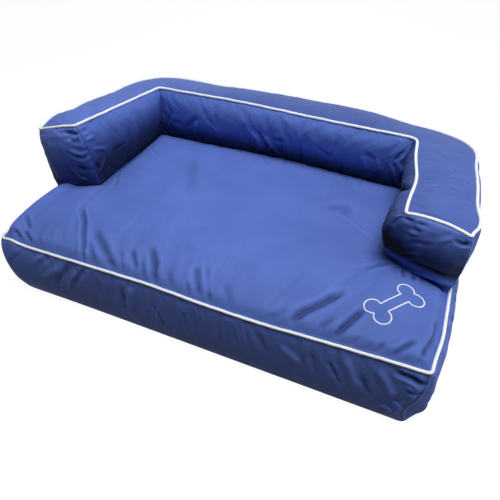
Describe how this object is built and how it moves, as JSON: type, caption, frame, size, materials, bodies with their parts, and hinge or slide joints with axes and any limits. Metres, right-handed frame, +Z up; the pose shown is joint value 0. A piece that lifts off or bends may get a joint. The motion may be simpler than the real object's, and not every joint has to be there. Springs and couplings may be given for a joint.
{
  "type": "dog sofa bed",
  "caption": "Padded dog bed shaped like a sofa: a crowned rectangular base cushion with a raised bolster on both sides and the back, in piped woven cloth with zips behind.",
  "frame": {"origin": "centre of the footprint on the floor, midway between the base's side seams and front and back seams", "axes": "+X to the bed's left-hand side as the dog looks out of it, which is to the right as seen from the front; +Y to the back, -Y is the open front; +Z up"},
  "size_m": [0.928, 0.6229, 0.3272],
  "materials": {
    "cover_cloth": "smooth woven polyester with a soft sheen",
    "base_cloth": "plain woven polyester",
    "piping_cloth": "white woven bias casing over a cord",
    "fibre_filling": "hollow-fibre wadding",
    "zip_tape": "woven polyester tape",
    "zip_nylon": "moulded nylon",
    "zip_metal": "cast zinc alloy, nickel plated"
  },
  "bodies": {
    "bed": {"base_filling": "fibre_filling", "base_top_panel": "cover_cloth", "base_front_band": "cover_cloth", "base_left_band": "cover_cloth", "base_right_band": "cover_cloth", "base_back_band_upper": "cover_cloth", "base_back_band_lower": "cover_cloth", "base_bottom_panel": "base_cloth", "base_piping": "piping_cloth", "base_zip_tape_upper": "zip_tape", "base_zip_tape_lower": "zip_tape", "base_zip_teeth_upper": "zip_nylon", "base_zip_teeth_lower": "zip_nylon", "base_zip_stops": "zip_metal", "bolster_filling_left": "fibre_filling", "bolster_filling_back": "fibre_filling", "bolster_filling_right": "fibre_filling", "bolster_top_panel": "cover_cloth", "bolster_inner_panel_left": "cover_cloth", "bolster_inner_panel_back": "cover_cloth", "bolster_inner_panel_right": "cover_cloth", "arm_front_panel_left": "cover_cloth", "arm_front_panel_right": "cover_cloth", "bolster_outer_panel_left": "cover_cloth", "bolster_outer_panel_right": "cover_cloth", "bolster_back_panel_upper": "cover_cloth", "bolster_back_panel_lower": "cover_cloth", "bolster_piping": "piping_cloth", "bolster_zip_tape_upper": "zip_tape", "bolster_zip_tape_lower": "zip_tape", "bolster_zip_teeth_upper": "zip_nylon", "bolster_zip_teeth_lower": "zip_nylon", "bolster_zip_stops": "zip_metal"},
    "base_slider": {"base_zip_slider": "zip_metal"},
    "base_pull": {"base_zip_pull": "zip_metal"},
    "bolster_slider": {"bolster_zip_slider": "zip_metal"},
    "bolster_pull": {"bolster_zip_pull": "zip_metal"}
  },
  "joints": [
    {"name": "base_zip_run", "type": "slide", "parent": "bed", "child": "base_slider", "axis": [-1, 0, 0], "range_m": [0, 0.72]},
    {"name": "base_pull_swing", "type": "hinge", "parent": "base_slider", "child": "base_pull", "pos_m": [0.3607, 0.3115, 0.078], "axis": [0, 0, -1], "range_deg": [0, 170]},
    {"name": "bolster_zip_run", "type": "slide", "parent": "bed", "child": "bolster_slider", "axis": [-1, 0, 0], "range_m": [0, 0.56]},
    {"name": "bolster_pull_swing", "type": "hinge", "parent": "bolster_slider", "child": "bolster_pull", "pos_m": [0.2807, 0.30514, 0.2324], "axis": [0, 0, -1], "range_deg": [0, 170]}
  ]
}
